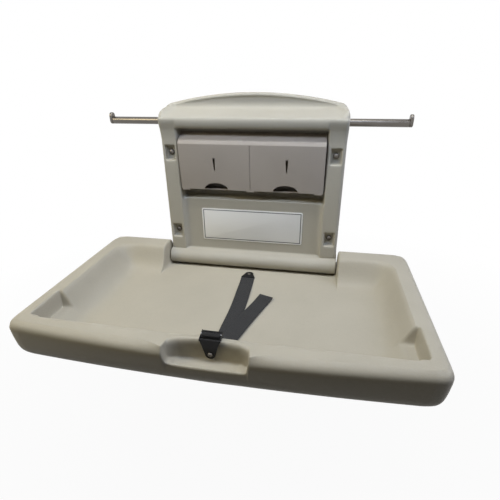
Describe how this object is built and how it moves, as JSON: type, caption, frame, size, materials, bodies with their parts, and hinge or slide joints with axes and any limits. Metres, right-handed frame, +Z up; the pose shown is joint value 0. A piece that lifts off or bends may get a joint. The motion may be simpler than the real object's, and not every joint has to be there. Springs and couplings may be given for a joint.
{
  "type": "baby changing station",
  "caption": "Wall-mounted fold-down baby changing station: a dished plastic bed on a hinged wall unit with liner dispenser, bag bar, safety strap and cam buckle.",
  "frame": {"origin": "middle of the four wall screws, on the wall face", "axes": "+X to the right of a person facing the station, +Y into the wall, +Z up"},
  "size_m": [0.88, 0.5427, 0.513],
  "materials": {
    "bed_plastic": "fine-grained moulded polyethylene, warm grey-beige",
    "housing_plastic": "fine-grained moulded polyethylene, warm grey-beige",
    "dispenser_plastic": "satin moulded plastic, pinkish grey",
    "label_plastic": "bare off-white plate with a thin dark border",
    "stainless": "satin stainless steel",
    "zinc_steel": "zinc-plated steel",
    "black_plastic": "black moulded plastic",
    "nylon": "natural nylon",
    "rubber": "black rubber",
    "webbing": "woven dark grey webbing"
  },
  "bodies": {
    "wall_unit": {"back_plate": "zinc_steel", "wall_housing": "housing_plastic", "wall_screw_ul": "stainless", "wall_screw_ur": "stainless", "wall_screw_ll": "stainless", "wall_screw_lr": "stainless", "hook_bar": "stainless", "hook_bar_end_left": "stainless", "bar_saddle_left": "zinc_steel", "hook_bar_end_right": "stainless", "bar_saddle_right": "zinc_steel", "dispenser_cover": "dispenser_plastic", "dispenser_shelf": "dispenser_plastic", "dispenser_screw_left": "stainless", "dispenser_screw_right": "stainless", "label_plate": "label_plastic", "hinge_bracket_left": "zinc_steel", "hinge_bush_left": "nylon", "hinge_damper_left": "black_plastic", "stop_bumper_left": "rubber", "hinge_bracket_right": "zinc_steel", "hinge_bush_right": "nylon", "hinge_damper_right": "black_plastic", "stop_bumper_right": "rubber"},
    "bed": {"bed_tray": "bed_plastic", "bed_base": "bed_plastic", "base_screw_1": "zinc_steel", "base_screw_2": "zinc_steel", "base_screw_3": "zinc_steel", "base_screw_4": "zinc_steel", "base_screw_5": "zinc_steel", "base_screw_6": "zinc_steel", "lug_screw_1": "zinc_steel", "lug_screw_2": "zinc_steel", "lug_screw_3": "zinc_steel", "lug_screw_4": "zinc_steel", "hinge_rod": "zinc_steel", "hinge_lug_left": "zinc_steel", "rod_collar_left": "zinc_steel", "hinge_lug_right": "zinc_steel", "rod_collar_right": "zinc_steel", "safety_strap": "webbing", "rear_anchor_plate": "black_plastic", "rear_anchor_rivet": "stainless", "buckle_frame": "black_plastic", "buckle_pin": "zinc_steel", "buckle_rivet": "stainless"},
    "lever": {"buckle_lever": "black_plastic"}
  },
  "joints": [
    {"name": "bed_hinge", "type": "hinge", "parent": "wall_unit", "child": "bed", "pos_m": [0, -0.059, -0.194], "axis": [-1, 0, 0], "range_deg": [0, 90]},
    {"name": "buckle_press", "type": "hinge", "parent": "bed", "child": "lever", "pos_m": [0.0025, -0.4925, -0.1447], "axis": [-1, 0, 0], "range_deg": [0, 12], "stiffness_Nm_per_rad": 0.05}
  ]
}
